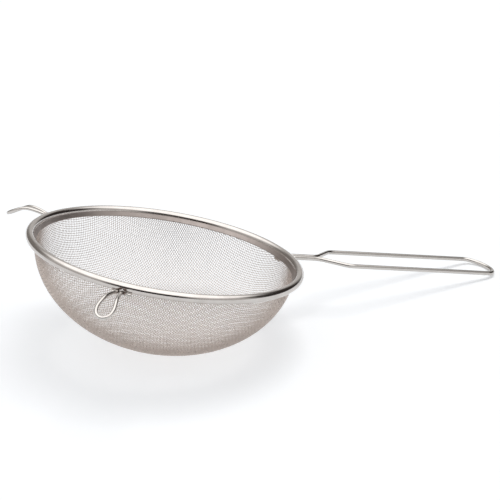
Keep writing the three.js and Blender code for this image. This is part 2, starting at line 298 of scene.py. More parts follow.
@dataclass(frozen=True)
class Finish:
    """Bare stainless steel with a given surface.

    Attributes:
        name: the material's common name and how its surface was made.
        colour: bright tone, sRGB hex.
        dull: tone of the duller patches, sRGB hex.
        roughness: least and most roughness.
        patch: size of the patches, in millimetres.
        grain: spacing of the fine marks, in millimetres.
        depth: depth of those marks, in millimetres.
        heat_tint_and_shade: brown of weld heat tint and painted shade under the bead, sRGB hex, if there is a
            weld.
    """

    name: str
    colour: str
    dull: str
    roughness: tuple[float, float]
    patch: float
    grain: float
    depth: float
    heat_tint_and_shade: str | None = None

    def material(self) -> bpy.types.Material:
        """Makes the material, or gives the one made before.

        Returns:
            The material.
        """
        known = bpy.data.materials.get(self.name)
        if known:
            return known
        made = bpy.data.materials.new(self.name)
        made.use_nodes = True
        tree = made.node_tree
        tree.nodes.clear()
        place = add_node(tree, "ShaderNodeTexCoord").outputs["Object"]
        patches = add_node(tree, "ShaderNodeTexNoise", {}, {
            "Vector": place, "Scale": 1 / (self.patch * MM), "Detail": 3.0, "Roughness": 0.55}).outputs["Fac"]
        grain = add_node(tree, "ShaderNodeTexNoise", {}, {
            "Vector": place, "Scale": 1 / (self.grain * MM), "Detail": 2.0}).outputs["Fac"]
        tone = add_node(tree, "ShaderNodeMix", {"data_type": "RGBA"}, {
            "Factor": patches, "A": linear(self.colour), "B": linear(self.dull)}).outputs["Result"]
        # Brown near the welds: heat tint, and painted shade where a wire rises under the bead.
        if self.heat_tint_and_shade:
            heat_and_shade = add_node(tree, "ShaderNodeAttribute", {"attribute_name": WELD_HEAT_AND_SHADE}).outputs["Fac"]
            tone = add_node(tree, "ShaderNodeMix", {"data_type": "RGBA"}, {
                "Factor": heat_and_shade, "A": tone, "B": linear(self.heat_tint_and_shade)}).outputs["Result"]
        rough = add_node(tree, "ShaderNodeMapRange", {}, {
            "Value": patches, "From Min": PATCH_LOW, "From Max": PATCH_HIGH,
            "To Min": self.roughness[0], "To Max": self.roughness[1]}).outputs["Result"]
        bump = add_node(tree, "ShaderNodeBump", {}, {
            "Height": grain, "Distance": self.depth * MM, "Strength": 1.0}).outputs["Normal"]
        shader = add_node(tree, "ShaderNodeBsdfPrincipled", {}, {
            "Base Color": tone, "Metallic": 1.0, "Roughness": rough, "Normal": bump})
        add_node(tree, "ShaderNodeOutputMaterial", {}, {"Surface": shader.outputs["BSDF"]})
        return made


# Stainless strip, rolled and polished: a near mirror, slightly wavy, with faint rolling marks.
ROLLED_STRIP = Finish(
    name="stainless_strip_rolled_polished", colour="D1CCC8", dull="BAB4AF", roughness=(0.1, 0.2),
    patch=9.0, grain=0.8, depth=0.002)
# The same strip inside the bowl, only rolled: satin, so that it mirrors nothing sharply; its darker tone is
# painted shade.
ROLLED_BAND_SHADED = Finish(
    name="stainless_strip_rolled_satin_shaded", colour="B4AAA5", dull="A09691", roughness=(0.36, 0.46),
    patch=9.0, grain=0.8, depth=0.004)
# Stainless wire, drawn and polished: a clean mirror with faint die marks; brown near the ends is weld heat
# tint plus painted shade.
DRAWN_WIRE = Finish(
    name="stainless_wire_drawn_polished", colour="CFCBC7", dull="BAB5B0", roughness=(0.1, 0.19),
    patch=7.0, grain=0.6, depth=0.002, heat_tint_and_shade="6E6059")
# Stainless wire cloth, woven from fine drawn wire: each wire is bright, and the cloth looks pale and satin.
WOVEN_CLOTH = Finish(
    name="stainless_wire_cloth_woven", colour="D6CBC4", dull="BEB2AA", roughness=(0.24, 0.36),
    patch=5.0, grain=0.5, depth=0.001)


@dataclass(frozen=True)
class Rim:
    """The rolled rim: a band inside the bowl, curled outward and down into a bead.

    Attributes, in millimetres, of which the sizes are the frame's own:
        radius: of the circle that the middle of the bead follows.
        bead: radius of the bead.
        strip: thickness of the strip.
        band_drop: height of the band below the middle of the bead.
        band_lean: how far the foot of the band leans inward.
        cloth: thickness of the cloth beside the band.
        clearance: gap between pieces that touch.
        lip: rounding of the band's foot, as a share of the strip.
        sway: waves of the strip: the height of each, its number round the rim and its start in radians.
        turns: sections round the rim.
        curl_steps: points along the curl.
        band_steps: points along the band.
    """

    radius: float = 100.0
    bead: float = 3.25
    strip: float = 0.6
    band_drop: float = 3.6
    band_lean: float = 1.9
    cloth: float = 0.6
    clearance: float = 0.3
    lip: float = 0.25
    sway: tuple[tuple[float, int, float], ...] = ((0.03, 5, 0.7), (0.02, 11, 2.1))
    turns: int = 300
    curl_steps: int = 44
    band_steps: int = 7

    def lean(self) -> float:
        """Lean of the band, in radians."""
        return math.atan2(self.band_lean, self.band_drop)

    def cloth_at(self, z: float) -> float:
        """Radius of the middle of the cloth at a height beside the band."""
        outer = self.radius - self.bead + self.strip + z * math.tan(self.lean())
        return outer + (self.clearance + self.cloth / 2) / math.cos(self.lean())

    def curl_end(self) -> float:
        """Finds where the end of the curl meets the cloth.

        Returns:
            Angle round the bead, in radians.
        """
        angle = -math.pi / 2
        while True:
            x = self.radius + self.bead * math.cos(angle)
            z = self.bead * math.sin(angle)
            if (x - self.cloth_at(z)) * math.cos(self.lean()) - self.cloth / 2 <= self.clearance:
                return angle
            angle -= TRIAL_TURN

    def profile(self) -> np.ndarray:
        """Section of the strip.

        Returns:
            Closed loop of (radius, height) points, from the foot of the band over the bead and back inside.
        """
        turn = np.linspace(math.pi, self.curl_end(), self.curl_steps)
        ring = np.stack([np.cos(turn), np.sin(turn)], axis=1)
        outside = np.array([self.radius, 0]) + self.bead * ring
        inside = np.array([self.radius, 0]) + (self.bead - self.strip) * ring
        foot = np.array([outside[0, 0] - self.band_lean, -self.band_drop])
        through = np.array([self.strip / math.cos(self.lean()), 0])
        share = np.linspace(0, 1, self.band_steps + 1)[:-1, None]
        band_in = foot + share * (outside[0] - foot)
        band_out = band_in + through
        lip = foot + through / 2 - np.array([0, self.lip * self.strip])
        return np.vstack([lip, band_in, outside, inside[::-1], band_out[::-1]])

    def band_faces(self) -> int:
        """Number of faces along the section, from its foot, that lie on the inner face of the band."""
        return self.band_steps + 1

    def build(self, place: RimFrame) -> None:
        """Turns the section round the rim, with the slight waviness of a rolled strip.

        Args:
            place: the rim's frame.
        """
        section = self.profile()
        count = len(section)
        turn = np.linspace(0, 2 * math.pi, self.turns, endpoint=False)
        sway = sum(height * np.sin(number * turn + start) for height, number, start in self.sway)
        radius = section[None, :, 0] + sway[:, None]
        points = np.stack([radius * np.cos(turn)[:, None], radius * np.sin(turn)[:, None],
                           np.broadcast_to(section[None, :, 1], radius.shape)], axis=2)
        faces = skin(self.turns, count, closed=True)
        piece = make_object("rim_rolled", place.place(points.reshape(-1, 3)), faces)
        settle(piece, ROLLED_STRIP, "rim_hoop")
        # The band's faces take the darker copy of the strip's finish: painted shade under the bead.
        piece.data.materials.append(ROLLED_BAND_SHADED.material())
        satin_and_shade = np.tile(np.arange(count) < self.band_faces(), self.turns)
        piece.data.polygons.foreach_set("material_index", satin_and_shade.astype(np.int32))


@dataclass(frozen=True)
class WovenBowl:
    """The bowl: plain-woven wire cloth, pressed from a flat sheet to half an ellipsoid.

    Pressing keeps the wires' spacing and shears the cloth between them, so the crossings are found one by
    one, each one pitch from the two before it.

    Attributes, in millimetres:
        rim: the rim that holds the cloth.
        depth: from the middle of the bead to the underside.
        pitch: spacing of the wires.
        wire: diameter of a wire.
        bearing: bearing of the warp from the handle, in degrees.
        edge: height at which the wires end, inside the rim.
        lip_top: height up to which the cloth's line is drawn on past its edge.
        wall_steps: points of that line from the bottom to the rim.
        lip_steps: points of it beside and past the rim.
        spare: rows of crossings that are found past the edge.
        rounds: trials in which a crossing is found.
    """

    rim: Rim
    depth: float = 73.0
    pitch: float = 1.8
    wire: float = 0.36
    bearing: float = 19.0
    edge: float = -0.9
    lip_top: float = 12.0
    wall_steps: int = 400
    lip_steps: int = 60
    spare: int = 2
    rounds: int = 6

    def meridian(self) -> np.ndarray:
        """Middle line of the cloth from the bottom to beyond its edge.

        Returns:
            Rows of distance along the cloth, radius and height, and the slopes of the last two.
        """
        fall = self.depth - self.rim.cloth / 2
        start = math.asin(self.rim.band_drop / fall)
        width = self.rim.cloth_at(-self.rim.band_drop) / math.cos(start)
        t = np.linspace(math.pi / 2, start, self.wall_steps)
        wall = np.stack([width * np.cos(t), -fall * np.sin(t)], axis=1)
        wall[0, 0] = 0
        lip_z = np.linspace(-self.rim.band_drop, self.lip_top, self.lip_steps)[1:]
        lip = np.stack([[self.rim.cloth_at(z) for z in lip_z], lip_z], axis=1)
        line = np.vstack([wall, lip])
        along = distances(line)
        slope = np.gradient(line, along, axis=0)
        return np.column_stack([along, line, slope])

    def quarter(self) -> tuple[np.ndarray, np.ndarray]:
        """Finds the crossings of one quarter of the cloth.

        Returns:
            Distance along the cloth from the bottom and bearing from the first warp, for each crossing.
        """
        table = self.meridian()
        reach = np.interp(self.edge, table[:, 2], table[:, 0])
        count = int(reach / self.pitch) + self.spare + 1
        along = np.full((count, count), np.nan)
        bearing = np.full((count, count), np.nan)
        spots = np.full((count, count, 3), np.nan)
        steps = np.arange(count) * self.pitch
        along[:, 0], bearing[:, 0] = steps, 0
        along[0, :], bearing[0, :] = steps, math.pi / 2
        spots[:, 0] = self.spot(table, along[:, 0], bearing[:, 0])[0]
        spots[0, :] = self.spot(table, along[0, :], bearing[0, :])[0]
        for total in range(2, 2 * count - 1):
            i = np.arange(max(1, total - count + 1), min(total - 1, count - 1) + 1)
            j = total - i
            first, second, corner = spots[i - 1, j], spots[i, j - 1], spots[i - 1, j - 1]
            s = along[i - 1, j] + along[i, j - 1] - along[i - 1, j - 1]
            guess = first + second - corner
            turn = np.arctan2(guess[:, 1], guess[:, 0])
            for _ in range(self.rounds):
                here, up, around, _ = self.spot(table, s, turn)
                to_first, to_second = here - first, here - second
                a, b = (to_first * up).sum(1), (to_first * around).sum(1)
                c, d = (to_second * up).sum(1), (to_second * around).sum(1)
                e = (self.pitch ** 2 - (to_first ** 2).sum(1)) / 2
                f = (self.pitch ** 2 - (to_second ** 2).sum(1)) / 2
                span = a * d - b * c
                s = s + (e * d - b * f) / span
                turn = turn + (a * f - c * e) / span / np.hypot(here[:, 0], here[:, 1])
            s[~(s < reach + self.spare * self.pitch)] = np.nan
            along[i, j], bearing[i, j] = s, turn
            spots[i, j] = self.spot(table, s, turn)[0]
        along[~(along <= reach)] = np.nan
        return along, bearing

    @staticmethod
    def spot(table: np.ndarray, along: np.ndarray, bearing: np.ndarray) -> tuple[np.ndarray, ...]:
        """Points of the cloth's middle surface.

        Args:
            table: the meridian.
            along: distances from the bottom.
            bearing: bearings, in radians.

        Returns:
            The points, the directions up the wall and round the bowl, and the outward normals.
        """
        radius, height, out, rise = (np.interp(along, table[:, 0], table[:, k]) for k in (1, 2, 3, 4))
        c, s = np.cos(bearing), np.sin(bearing)
        zero = np.zeros_like(c)
        here = np.stack([radius * c, radius * s, height], axis=-1)
        up = np.stack([out * c, out * s, rise], axis=-1)
        around = np.stack([-s, c, zero], axis=-1)
        normal = np.stack([rise * c, rise * s, -out], axis=-1)
        return here, up, around, normal

    def wires(self, family: Family, side: Side) -> list[tuple[np.ndarray, np.ndarray]]:
        """Follows the wires of one family on one side of the middle wire.

        Args:
            family: warp or weft.
            side: which half.

        Returns:
            For each wire the points of its middle line and the cloth's normals there.
        """
        table = self.meridian()
        along, bearing = self.quarter()
        if family is Family.WEFT:
            along, bearing = along.T, bearing.T
        lines = []
        sign = 1 if side is Side.LEFT else -1
        for row in range(0 if side is Side.LEFT else 1, along.shape[1]):
            known = np.flatnonzero(~np.isnan(along[:, row]))
            if len(known) < 2:
                continue
            here, _, _, normal = self.spot(table, along[known, row], bearing[known, row])
            flip_side = np.array([1, sign, 1]) if family is Family.WARP else np.array([sign, 1, 1])
            flip_end = np.array([-1, 1, 1]) if family is Family.WARP else np.array([1, -1, 1])
            here, normal = here * flip_side, normal * flip_side
            here = np.vstack([(here * flip_end)[:0:-1], here])
            normal = np.vstack([(normal * flip_end)[:0:-1], normal])
            number = np.concatenate([-known[:0:-1], known]) + row
            lift = np.where(number % 2 == 0, 1, -1) * (1 if family is Family.WARP else -1)
            points = np.empty((2 * len(here) - 1, 3))
            normals = np.empty_like(points)
            points[::2] = here + normal * (lift * self.wire / 2)[:, None]
            points[1::2] = (here[1:] + here[:-1]) / 2
            normals[::2] = normal
            normals[1::2] = unit(normal[1:] + normal[:-1])
            lines.append((points, normals))
        return lines

    def build(self, place: RimFrame) -> None:
        """Weaves the cloth, in four pieces, and lets it give where it stands on the table.

        Args:
            place: the rim's frame.
        """
        for family in Family:
            for side in Side:
                self.weave(place, family, side)

    def weave(self, place: RimFrame, family: Family, side: Side) -> None:
        """Makes one piece of the cloth: the wires of a family on one side.

        Args:
            place: the rim's frame.
            family: warp or weft.
            side: which half.
        """
        lines = self.wires(family, side)
        points, faces, sheet = [], [], []
        first = 0
        radius = self.wire / 2 * MM
        for number, (line, normal) in enumerate(lines):
            middle = place.place(about_z(line, self.bearing))
            out = unit(place.place(about_z(line + normal, self.bearing)) - middle)
            middle[:, 2] = np.maximum(middle[:, 2], radius)
            along = unit(np.gradient(middle, axis=0))
            out = unit(out - along * (along * out).sum(1)[:, None])
            points.append(tube(middle, radius, out, np.cross(along, out), CLOTH_SIDES))
            count = len(middle)
            corners = np.arange(CLOTH_SIDES)
            ends = np.array([corners[::-1], corners + (count - 1) * CLOTH_SIDES])
            faces.append(np.vstack([skin(count, CLOTH_SIDES), ends]) + first)
            first += count * CLOTH_SIDES
            sheet.append(self.strip(number, len(lines), count))
        name = f"mesh_{family.value}_{side.value}"
        piece = make_object(name, np.vstack(points), np.vstack(faces), np.vstack(sheet).reshape(-1, 2))
        settle(piece, WOVEN_CLOTH, "mesh_bowl")

    @staticmethod
    def strip(number: int, wires: int, rings: int) -> np.ndarray:
        """Strip of the sheet that one wire of the cloth is laid out on.

        Args:
            number: which wire.
            wires: number of wires on the sheet.
            rings: rings of that wire.

        Returns:
            Place on the sheet of the four corners of each face, with the two ends last.
        """
        k, m = np.meshgrid(np.arange(rings - 1), np.arange(CLOTH_SIDES), indexing="ij")
        across = np.stack([m, m + 1, m + 1, m], axis=2).reshape(-1, 4) / CLOTH_SIDES
        length = np.stack([k, k, k + 1, k + 1], axis=2).reshape(-1, 4) / (rings - 1)
        wall = np.stack([(number + SHEET_SIDE + (1 - 2 * SHEET_SIDE) * across) / wires,
                         SHEET_FOOT + SHEET_RUN * length], axis=2)
        ends = np.full((2, CLOTH_SIDES, 2), [(number + 0.5) / wires, SHEET_TIP])
        return np.vstack([wall, ends])


def bezier(corners: Sequence[np.ndarray], count: int) -> np.ndarray:
    """Points of a Bezier curve of any degree, without its last one.

    Args:
        corners: control points.
        count: number of points.

    Returns:
        The points.
    """
    t = np.linspace(0, 1, count, endpoint=False)[:, None]
    top = len(corners) - 1
    return sum(math.comb(top, k) * t ** k * (1 - t) ** (top - k) * corner for k, corner in enumerate(corners))


def centripetal(knots: np.ndarray, count: int) -> np.ndarray:
    """Points of a centripetal Catmull-Rom curve through knots.

    Args:
        knots: points that it passes through.
        count: number of points between two knots.

    Returns:
        The points.
    """
    ends = np.vstack([2 * knots[0] - knots[1], knots, 2 * knots[-1] - knots[-2]])
    rows = []
    for a, b, c, d in zip(ends, ends[1:], ends[2:], ends[3:]):
        first, middle, last = (math.sqrt(np.linalg.norm(q - p)) for p, q in ((a, b), (b, c), (c, d)))
        leave = ((b - a) / first - (c - a) / (first + middle) + (c - b) / middle) * middle
        arrive = ((c - b) / middle - (d - b) / (middle + last) + (d - c) / last) * middle
        rows.append(bezier([b, b + leave / 3, c - arrive / 3, c], count))
    return np.vstack([*rows, knots[-1]])


def even(line: np.ndarray, step: float) -> np.ndarray:
    """Points at even spacing along a line.

    Args:
        line: points of the line.
        step: spacing wanted.

    Returns:
        The points, both ends kept.
    """
    along = distances(line)
    wanted = np.linspace(0, along[-1], max(2, int(round(along[-1] / step))))
    return np.column_stack([np.interp(wanted, along, line[:, k]) for k in range(3)])


def round_wire(name: str, line: np.ndarray, radius: float, sides: int, weld_and_shade_at: float) -> bpy.types.Object:
    """Makes a round wire along a line, with rounded ends.

    Args:
        name: name of the piece.
        line: points of its middle, in metres.
        radius: in metres.
        sides: corners of its section.
        weld_and_shade_at: distance from each end of the wire of the weld's heat tint and painted shade, in
            metres.

    Returns:
        The object.
    """
    along = unit(np.gradient(line, axis=0))
    out = np.empty_like(line)
    out[0] = np.cross(along[0], [0.0, 0.0, 1.0])
    for i in range(1, len(line)):
        out[i] = out[i - 1] - along[i] * (along[i] @ out[i - 1])
    out = unit(out)
    aside = np.cross(along, out)
    rise = END_ROUND * radius * (np.sin(END_STEPS)[:, None] - 1)
    centres = np.vstack([line[0] - along[0] * rise, line[1:-1], line[-1] + along[-1] * rise[::-1]])
    narrow = 1 - END_ROUND + END_ROUND * np.cos(END_STEPS)
    sizes = radius * np.concatenate([narrow, np.ones(len(line) - 2), narrow[::-1]])
    steps = len(END_STEPS)
    pick = np.concatenate([np.zeros(steps, int), np.arange(1, len(line) - 1), np.full(steps, len(line) - 1)])
    count = len(centres)
    faces = skin(count, sides).tolist()
    faces.append(list(range(sides))[::-1])
    faces.append(list(range((count - 1) * sides, count * sides)))
    piece = make_object(name, tube(centres, sizes, out[pick], aside[pick], sides), faces)
    # Brown along the wire, 0 to 1, round each weld: heat tint, and painted shade under the bead.
    way = distances(line)
    from_end = np.minimum(way, way[-1] - way)[pick]
    heat_and_shade = np.repeat(np.clip(2 - np.abs(from_end - weld_and_shade_at) / WELD_AND_SHADE_REACH, 0, 1), sides).astype(np.float32)
    piece.data.attributes.new(WELD_HEAT_AND_SHADE, "FLOAT", "POINT").data.foreach_set("value", heat_and_shade)
    return piece


@dataclass(frozen=True)
class Handle:
    """The handle: one wire, both ends side by side under the bead, spread to a long loop with a round end.

    Attributes, in millimetres, of which the sizes are the frame's own:
        rim: the rim that carries it.
        wire: diameter of the wire.
        reach: from the middle of the bead to the end of the loop.
        set_down: how far its line passes below the middle of the bead.
        droop: fall of that line outward, in degrees.
        neck: from the middle of the bead to where the two wires part.
        neck_gap: between the two wires there.
        splay: length over which they part.
        width_near: width of the loop where it starts.
        width_far: width of the loop where its round end starts.
        end_depth: length of that end.
        tuck_run: from the middle of the bead to where the wires have come up to their line.
        tuck_bend: length of wire that a bend takes there.
        splay_bend: length of wire that a bend takes where the wires part.
        weld_and_shade_at: distance from each end of the wire of the weld's heat tint and painted shade.
        sides: corners of the wire's section.
        step: spacing of its sections.
        bend_steps: points along a bend or a short run.
        run_steps: points along a long run or the round end.
    """

    rim: Rim
    wire: float = 3.5
    reach: float = 206.3
    set_down: float = 3.4
    droop: float = 2.4
    neck: float = 34.5
    neck_gap: float = 0.6
    splay: float = 20.5
    width_near: float = 33.0
    width_far: float = 35.4
    end_depth: float = 12.5
    tuck_run: float = 9.0
    tuck_bend: float = 3.0
    splay_bend: float = 4.0
    weld_and_shade_at: float = 3.5
    sides: int = 28
    step: float = 1.2
    bend_steps: int = 20
    run_steps: int = 60

    def on_line(self, out: float, side: float) -> np.ndarray:
        """Point of the handle's plane, so far out from the middle of the bead and so far to the side."""
        fall = math.tan(math.radians(self.droop))
        return np.array([self.rim.radius + out, side, -self.set_down - out * fall])

    def line(self) -> np.ndarray:
        """Follows the middle of the wire from one end to the other.

        Returns:
            Points around the rim.
        """
        bead = self.rim.bead
        under = -(bead + self.rim.clearance + self.wire / 2)
        near = (self.wire + self.neck_gap) / 2
        end = self.width_far / 2
        start = self.rim.cloth_at(-self.rim.band_drop) + self.rim.cloth / 2 + self.rim.clearance
        half = [np.array([start, near, under]), np.array([self.rim.radius + bead / 2, near, under]),
                self.on_line(self.tuck_run, near), self.on_line(self.neck, near),
                self.on_line(self.neck + self.splay, self.width_near / 2),
                self.on_line(self.reach - self.end_depth, end)]
        bends = [self.tuck_bend, self.tuck_bend, self.splay_bend, self.splay_bend]
        runs = []
        at = half[0]
        for before, corner, after, bend in zip(half, half[1:], half[2:], bends):
            back = corner + bend * (before - corner) / np.linalg.norm(before - corner)
            onward = corner + bend * (after - corner) / np.linalg.norm(after - corner)
            runs += [bezier([at, back], self.bend_steps), bezier([back, corner, onward], self.bend_steps)]
            at = onward
        runs.append(bezier([at, half[-1]], self.run_steps))
        left = (1 - QUARTER_ROUND) * self.end_depth
        tip = self.on_line(self.reach, 0)
        runs.append(bezier([half[-1], self.on_line(self.reach - left, end),
                            self.on_line(self.reach, QUARTER_ROUND * end), tip], self.run_steps))
        one_side = np.vstack(runs)
        return even(np.vstack([one_side, tip, (one_side * [1, -1, 1])[::-1]]), self.step)

    def build(self, place: RimFrame) -> None:
        """Bends the wire.

        Args:
            place: the rim's frame.
        """
        line = place.place(self.line())
        piece = round_wire("handle_loop", line, self.wire / 2 * MM, self.sides, self.weld_and_shade_at * MM)
        settle(piece, DRAWN_WIRE, "handle_wire")


@dataclass(frozen=True)
class Ear:
    """A pot rest: a thinner wire bent to a drop-shaped loop, with a foot on either side under the bead.

    Attributes, in millimetres, of which the sizes are the frame's own. "Out" is from the middle of the bead,
    and "drop" is below it:
        rim: the rim that carries it.
        name: name of the piece.
        node: the node that it stands for.
        bearing: its bearing from the handle, in degrees.
        wire: diameter of the wire.
        reach: how far out the loop ends.
        width: of the loop at its shoulder.
        tip_round: length of the loop's round end.
        tip_drop: drop of its end.
        shoulder_drop: drop where the round end starts.
        crest_out: how far out the ear is highest.
        crest_drop: drop there.
        crest_width: width there.
        midway_fall: share of the fall from crest to shoulder that is reached halfway.
        throat_out: how far out the two legs are closest.
        throat_drop: drop there.
        throat_gap: between the legs there.
        foot_length: length of a foot.
        foot_out: how far out the feet lie.
        weld_and_shade_at: distance from each end of the wire of the weld's heat tint and painted shade.
        sides: corners of the wire's section.
        step: spacing of its sections.
        curve_steps: points from one named place of the wire to the next.
    """

    rim: Rim
    name: str
    node: str
    bearing: float
    wire: float = 2.6
    reach: float = 41.5
    width: float = 11.4
    tip_round: float = 6.6
    tip_drop: float = 10.1
    shoulder_drop: float = 5.9
    crest_out: float = 16.4
    crest_drop: float = 0.8
    crest_width: float = 5.8
    midway_fall: float = 0.1
    throat_out: float = 4.8
    throat_drop: float = 2.6
    throat_gap: float = 0.8
    foot_length: float = 5.5
    foot_out: float = 2.8
    weld_and_shade_at: float = 7.5
    sides: int = 20
    step: float = 0.6
    curve_steps: int = 24

    def line(self) -> np.ndarray:
        """Follows the middle of the wire from one end to the other, with the ear along +X.

        Returns:
            Points around the rim.
        """
        seat = self.rim.bead + self.rim.clearance + self.wire / 2
        foot_drop = -math.sqrt(seat ** 2 - self.foot_out ** 2)
        throat = (self.throat_gap + self.wire) / 2
        foot_radius = self.rim.radius + self.foot_out
        shoulder = self.reach - self.tip_round
        diagonal = math.sqrt(0.5)
        feet = [(throat + share * self.foot_length) / foot_radius for share in (1, 0.5)]
        half = [[foot_radius * math.cos(t), foot_radius * math.sin(t), foot_drop] for t in feet]
        half += [[self.rim.radius + out, side, z] for out, side, z in (
            (self.throat_out, throat, -self.throat_drop),
            (self.crest_out, self.crest_width / 2, -self.crest_drop),
            ((self.crest_out + shoulder) / 2, (self.crest_width + self.width) / 4,
             -self.crest_drop - self.midway_fall * (self.shoulder_drop - self.crest_drop)),
            (shoulder, self.width / 2, -self.shoulder_drop),
            (shoulder + self.tip_round * diagonal, self.width / 2 * diagonal,
             -self.shoulder_drop - (self.tip_drop - self.shoulder_drop) * diagonal))]
        one_side = np.array(half)
        tip = np.array([[self.rim.radius + self.reach, 0, -self.tip_drop]])
        knots = np.vstack([one_side, tip, (one_side * [1, -1, 1])[::-1]])
        return even(centripetal(knots, self.curve_steps), self.step)

    def build(self, place: RimFrame) -> None:
        """Bends the wire and turns it to its bearing.

        Args:
            place: the rim's frame.
        """
        line = place.place(about_z(self.line(), self.bearing))
        piece = round_wire(self.name, line, self.wire / 2 * MM, self.sides, self.weld_and_shade_at * MM)
        settle(piece, DRAWN_WIRE, self.node)


@dataclass(frozen=True)
class Softbox:
    """A large soft lamp, so far away that its light falls evenly on the floor.

    Attributes:
        name: its name.
        bearing: from the camera's side, in degrees, positive to the right of the picture.
        height: over the horizon, in degrees.
        spread: how wide it looks from the floor, in degrees.
        strength: light on a surface that faces it, in watts per square metre.
    """

    name: str
    bearing: float
    height: float
    spread: float
    strength: float

    def build(self, azimuth: float) -> None:
        """Hangs the lamp.

        Args:
            azimuth: the camera's bearing round the object, in degrees.
        """
        turn, rise = math.radians(azimuth + self.bearing), math.radians(self.height)
        toward = Vector((math.sin(turn) * math.cos(rise), -math.cos(turn) * math.cos(rise), math.sin(rise)))
        lamp = bpy.data.lights.new(self.name, "SUN")
        lamp.energy = self.strength
        lamp.angle = math.radians(self.spread)
        made = bpy.data.objects.new(self.name, lamp)
        made.location = toward * LAMP_DISTANCE
        made.rotation_mode = "QUATERNION"
        made.rotation_quaternion = toward.to_track_quat("Z", "Y")
        made.visible_glossy = False
        bpy.context.scene.collection.objects.link(made)


@dataclass(frozen=True)
class DarkCorner:
    """A dark part of the room, low down beyond the white sweep.

    Attributes, in degrees:
        bearing: from the camera's side, positive to the right of the picture.
        spread: half its width.
        top: its height over the horizon.
        colour: its tone, sRGB hex.
        soft_side: half the width over which its sides fade out.
        soft_top: half the height over which its top fades out.
    """

    bearing: float
    spread: float
    top: float
    colour: str
    soft_side: float = 12.0
    soft_top: float = 9.0

    def darken(self, tree: bpy.types.NodeTree, room: bpy.types.NodeSocket, bearing: bpy.types.NodeSocket,
               height: bpy.types.NodeSocket, azimuth: float) -> bpy.types.NodeSocket:
        """Lays the corner over the room.

        Args:
            tree: the world's node tree.
            room: the room's colour so far.
            bearing: level direction that is looked in.
            height: sine of its height.
            azimuth: the camera's bearing round the object, in degrees.

        Returns:
            The room's colour with this corner.
        """
        turn = math.radians(azimuth + self.bearing)
        facing = add_node(tree, "ShaderNodeVectorMath", {"operation": "DOT_PRODUCT"}, {
            0: bearing, 1: (math.sin(turn), -math.cos(turn), 0.0)}).outputs["Value"]
        across = add_node(tree, "ShaderNodeMapRange", {"interpolation_type": "SMOOTHSTEP"}, {
            "Value": facing, "From Min": math.cos(math.radians(self.spread + self.soft_side)),
            "From Max": math.cos(math.radians(max(self.spread - self.soft_side, 0)))}).outputs["Result"]
        below = add_node(tree, "ShaderNodeMapRange", {"interpolation_type": "SMOOTHSTEP"}, {
            "Value": height, "From Min": math.sin(math.radians(self.top + self.soft_top)),
            "From Max": math.sin(math.radians(self.top - self.soft_top))}).outputs["Result"]
        share = add_node(tree, "ShaderNodeMath", {"operation": "MULTIPLY"}, {0: across, 1: below}).outputs[0]
        return add_node(tree, "ShaderNodeMix", {"data_type": "RGBA"}, {
            "Factor": share, "A": room, "B": linear(self.colour)}).outputs["Result"]


